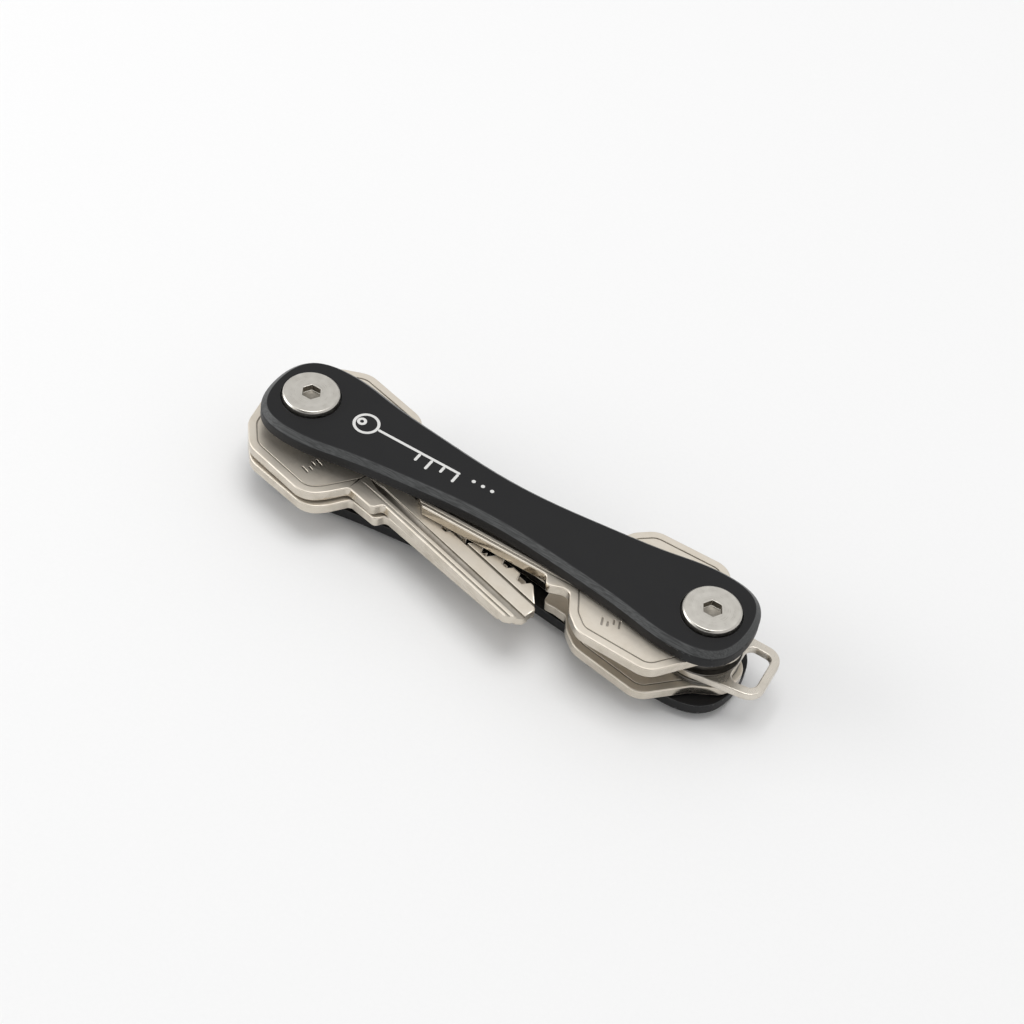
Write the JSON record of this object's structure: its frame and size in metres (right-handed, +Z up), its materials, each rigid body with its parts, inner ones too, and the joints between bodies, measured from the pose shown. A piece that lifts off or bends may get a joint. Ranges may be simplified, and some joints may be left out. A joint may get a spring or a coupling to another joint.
{
  "type": "key organiser",
  "caption": "Pocket key organiser: two waisted metal plates on screw posts, with keys and a key ring loop that swing out.",
  "frame": {"origin": "centre of the lower plate's outer flat face, midway between the two posts", "axes": "+X along the plates from the key post to the post with the loop, +Y to the side the keys do not open to, +Z up through the stack from the lower plate to the upper plate"},
  "size_m": [0.0999, 0.0317, 0.0182],
  "materials": {
    "black_anodised": "black anodised, fine matt, with a lighter worn chamfer",
    "satin_steel": "satin turned stainless steel",
    "nickel_key": "nickel-plated key brass, rolled flats and milled grooves",
    "loop_steel": "brushed stainless sheet with rounded edges",
    "washer_steel": "bright cold-rolled shim",
    "spacer_steel": "turned steel"
  },
  "bodies": {
    "frame": {"upper_plate": "black_anodised", "lower_plate": "black_anodised", "screw_left": "satin_steel", "screw_right": "satin_steel", "post_left": "satin_steel", "post_right": "satin_steel", "loop_shim": "washer_steel", "spacer_left_lower": "spacer_steel", "spacer_left_upper": "spacer_steel", "spacer_right": "spacer_steel", "washer_left_1": "washer_steel", "washer_left_2": "washer_steel", "washer_left_3": "washer_steel", "washer_left_4": "washer_steel", "washer_left_5": "washer_steel", "washer_right_1": "washer_steel", "washer_right_2": "washer_steel", "washer_right_3": "washer_steel", "washer_right_4": "washer_steel", "washer_right_5": "washer_steel"},
    "key_left_upper": {"key_left_upper": "nickel_key"},
    "key_left_lower": {"key_left_lower": "nickel_key"},
    "key_right_upper": {"key_right_upper": "nickel_key"},
    "key_right_lower": {"key_right_lower": "nickel_key"},
    "loop": {"loop": "loop_steel"}
  },
  "joints": [
    {"name": "key_left_upper_turn", "type": "hinge", "parent": "frame", "child": "key_left_upper", "pos_m": [-0.039, 0, 0.00932], "axis": [0, 0, 1], "range_deg": [-164.5, 15.5]},
    {"name": "key_left_lower_turn", "type": "hinge", "parent": "frame", "child": "key_left_lower", "pos_m": [-0.039, 0, 0.00688], "axis": [0, 0, 1], "range_deg": [-166.5, 13.5]},
    {"name": "key_right_upper_turn", "type": "hinge", "parent": "frame", "child": "key_right_upper", "pos_m": [0.039, 0, 0.01178], "axis": [0, 0, 1], "range_deg": [0, 180]},
    {"name": "key_right_lower_turn", "type": "hinge", "parent": "frame", "child": "key_right_lower", "pos_m": [0.039, 0, 0.00443], "axis": [0, 0, 1], "range_deg": [0, 188]},
    {"name": "loop_turn", "type": "hinge", "parent": "frame", "child": "loop", "pos_m": [0.039, 0, 0.00713], "axis": [0, 0, 1], "range_deg": [-114, 106]}
  ]
}
